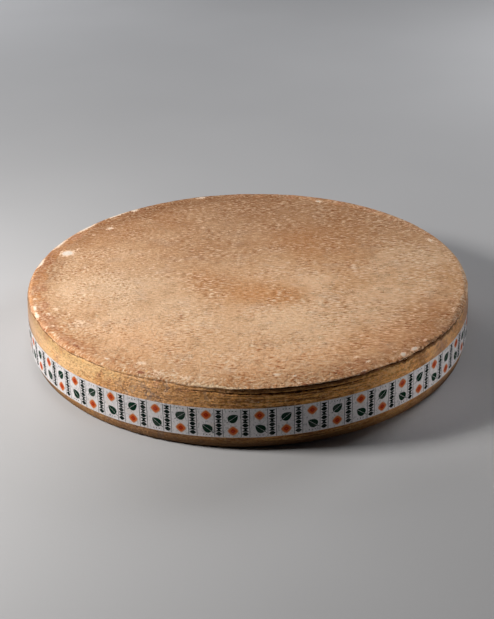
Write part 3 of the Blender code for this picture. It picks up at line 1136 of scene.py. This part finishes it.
def rind_marks(paint, colour):
    """The rind's colour with its grime and painted shade round the cracks, pale flakes with a painted
    highlight, crystals, mould that along the far rim is partly a painted highlight, scabs, hairlines, and
    cracks darkened as dirt and painted shade.
    """
    gathered = paint.span(paint.noise(20), 0.52, 0.62)
    crystals = paint.times(paint.span(paint.cells(95), 0.16, 0.05), gathered)
    mould = paint.mix(paint.span(paint.share("patch"), 0.45, 0.8), MOULD_CREAM, MOULD_WHITE)
    away = paint.arithmetic("ABSOLUTE", ragged_share(paint, "below", 120, 0.5))
    line = paint.times(paint.span(away, 0.3, 0.12), paint.share("hairline"))
    line = paint.times(line, paint.span(paint.noise(75), 0.36, 0.5))
    return paint.layers(
        colour,
        # Grime and painted shade round the crack
        (DEEP_BROWN, ragged_spots(paint, "crack_grime_and_shade", 170, 2.2, (0.32, 0.68), (0.02, 0.25)), 0.8),
        # Pale flakes on the lip, partly a painted highlight
        (FLAKE_AND_HIGHLIGHT_TAN, ragged_spots(paint, "flakes_and_highlight", 240, 5.5, (0.72, 0.96), (0.03, 0.2)), 0.95),
        (MOULD_WHITE, crystals, 0.3),
        (mould, ragged_spots(paint, "patch", 230, 1.9, (0.27, 0.48), (0.04, 0.22)), 0.9),
        (SCAB_RED, ragged_spots(paint, "scab", 180, 1.5, (0.3, 0.6), (0.05, 0.3)), 0.85),
        (DEEP_BROWN, line, 0.9),
        # Cracks darkened by their depth: dirt and painted shade
        (CRACK_BROWN_AND_SHADE, ragged_spots(paint, "crack_dirt_and_shade", 220, 2.4, (0.34, 0.66), (0.0, 0.1)), 1.0),
    )


def make_rind_paint():
    """Dry rind: mottled top, tinted rim, streaked side, cracks darkened as dirt and painted shade, and pale
    patches.
    """
    paint = Paint("rind", 0.8, 0.12)
    broad = paint.noise(9, 3, 0.55)
    middle = paint.noise(45, 3, 0.6)
    rim = paint.span(ragged_share(paint, "rim", 50, 2.0), 0.35, 0.95, 0.0, 0.9)
    colour = paint.mix(rim, top_ground(paint, broad, middle), rim_ground(paint))
    colour = grained(paint, colour, broad, middle)
    colour = paint.tint(colour, DARK_RIM_TINT, paint.share("dark_rim"))
    colour = paint.tint(colour, RUDDY_TINT, paint.share("ruddy"))
    torn = paint.times(ragged_noise(paint, 90), paint.share("torn"))
    below = paint.plus(ragged_share(paint, "below", 160, 1.0), paint.times(torn, 8.0))
    colour = paint.mix(paint.span(below, -0.15, 0.45), colour, side_colour(paint))
    colour = rind_marks(paint, colour)

    grain = paint.noise(1, 2, 0.6, stretch=GRAIN)
    level = paint.noise(90, 3, 0.6, stretch=(0.35, 0.35, 3.5))
    level = paint.times(level, paint.span(paint.share("below"), 0.0, 1.0))
    normal = paint.bump(paint.noise(420, 2, 0.7), 0.0008)
    normal = paint.bump(grain, 0.0019, under=normal)
    normal = paint.bump(level, 0.0018, under=normal)
    roughness = paint.span(grain, 0.35, 0.65, 0.7, 0.88)
    return paint.finish(colour, normal, roughness)


def make_paper_paint():
    """White label paper with fine fibres, a little grease and soiled spots."""
    paint = Paint("label paper", 0.55, 0.4)
    fibres = paint.noise(700, 2, 0.6, stretch=(0.6, 0.6, 1.4))
    soil = paint.noise(40, 4, 0.6)
    specks = paint.noise(330, 3, 0.7, stretch=(1.0, 1.0, 0.6))
    colour = paint.layers(
        paint.mix(paint.span(fibres, 0.4, 0.62), PAPER_WHITE, PAPER_SHADE),
        (PAPER_SOIL, paint.span(soil, 0.56, 0.72), 0.35),
        (PAPER_SPECK, paint.span(specks, 0.53, 0.64), 0.75),
    )
    normal = paint.bump(paint.noise(120, 3, 0.6), 0.0006)
    normal = paint.bump(fibres, 0.00012, under=normal)
    return paint.finish(colour, normal)


def make_ink_paint(name, colour):
    """Printed ink, a little worn so that paper shows through in specks."""
    paint = Paint("ink " + name, 0.65, 0.06)
    worn = paint.noise(520, 3, 0.7)
    tint = paint.layers(
        colour,
        (BARE_PAPER, paint.span(paint.noise(60), 0.5, 0.7), 0.06),
        (BARE_PAPER, paint.span(worn, 0.66, 0.76), 0.35),
    )
    return paint.finish(tint, paint.bump(worn, 0.0001))


def make_floor_paint():
    """Plain pale studio floor."""
    paint = Paint("studio floor", 0.75, 0.2)
    colour = paint.mix(paint.span(paint.noise(2), 0.3, 0.7), FLOOR_DIM, FLOOR_PALE)
    return paint.finish(colour, paint.bump(paint.noise(300), 0.0001))


# Ink colours, linear
INKS = {
    "green": (0.002, 0.028, 0.013),
    "dark": (0.004, 0.012, 0.009),
    "peach": (0.66, 0.37, 0.24),
    "orange": (0.6, 0.13, 0.028),
    "rust": (0.42, 0.036, 0.008),
    "grey": (0.06, 0.075, 0.065),
}


# Scene

def dress(item, material, node=None):
    """Give a piece its material and its body, and hide the solid that it stands for if there is one."""
    item.data.materials.append(material)
    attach(item, "root")
    if node:
        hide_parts(node)


def make_camera():
    """Camera at the photograph's place and angle."""
    pitch = math.radians(PITCH_DOWN)
    roll = math.radians(ROLL)
    ahead = Vector((0.0, math.cos(pitch), -math.sin(pitch)))
    level_up = Vector((0.0, math.sin(pitch), math.cos(pitch)))
    right = Vector((1.0, 0.0, 0.0)) * math.cos(roll) + level_up * math.sin(roll)
    up = right.cross(ahead)
    data = bpy.data.cameras.new("camera")
    data.lens = FOCAL_LENGTH_MM
    data.sensor_width = SENSOR_MM
    data.clip_end = 50.0
    camera = bpy.data.objects.new("camera", data)
    camera.matrix_world = Matrix.Translation(EYE) @ Matrix((right, up, -ahead)).transposed().to_4x4()
    bpy.context.scene.collection.objects.link(camera)
    bpy.context.scene.camera = camera


def make_light(name, place, size, power, colour, beam_angle=180.0, aim=LIGHT_AIM):
    """A square soft light that faces the wheel."""
    data = bpy.data.lights.new(name, "AREA")
    data.size = size
    data.energy = power
    data.color = colour
    data.spread = math.radians(beam_angle)
    lamp = bpy.data.objects.new(name, data)
    lamp.location = place
    lamp.visible_camera = False
    lamp.rotation_euler = (Vector(aim) - Vector(place)).to_track_quat("-Z", "Y").to_euler()
    bpy.context.scene.collection.objects.link(lamp)


def make_studio():
    """Floor, soft key light from the left, weak fill, two lights behind and a dim surround."""
    bpy.ops.mesh.primitive_plane_add(size=14.0)
    floor = bpy.context.object
    floor.name = "studio_floor"
    floor.data.materials.append(make_floor_paint())
    floor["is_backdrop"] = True
    for name, light in LIGHTS.items():
        make_light(name, *light)
    world = bpy.data.worlds.new("surround")
    world.use_nodes = True
    background = world.node_tree.nodes["Background"]
    background.inputs["Color"].default_value = SURROUND_COLOUR
    background.inputs["Strength"].default_value = SURROUND_STRENGTH
    bpy.context.scene.world = world
    bpy.context.scene.view_settings.view_transform = "Standard"


def main():
    make_camera()
    wheel = make_wheel()
    dress(wheel, make_rind_paint(), "cheese_wheel")
    label = make_label()
    dress(label, make_paper_paint(), "label_band")
    for ink, item in make_print().items():
        dress(item, make_ink_paint(ink, INKS[ink]))
    make_studio()
    boxes = {"cad": cad_box, "visual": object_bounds()}
    boxes = {name: [list(corner) for corner in box] for name, box in boxes.items()}


main()
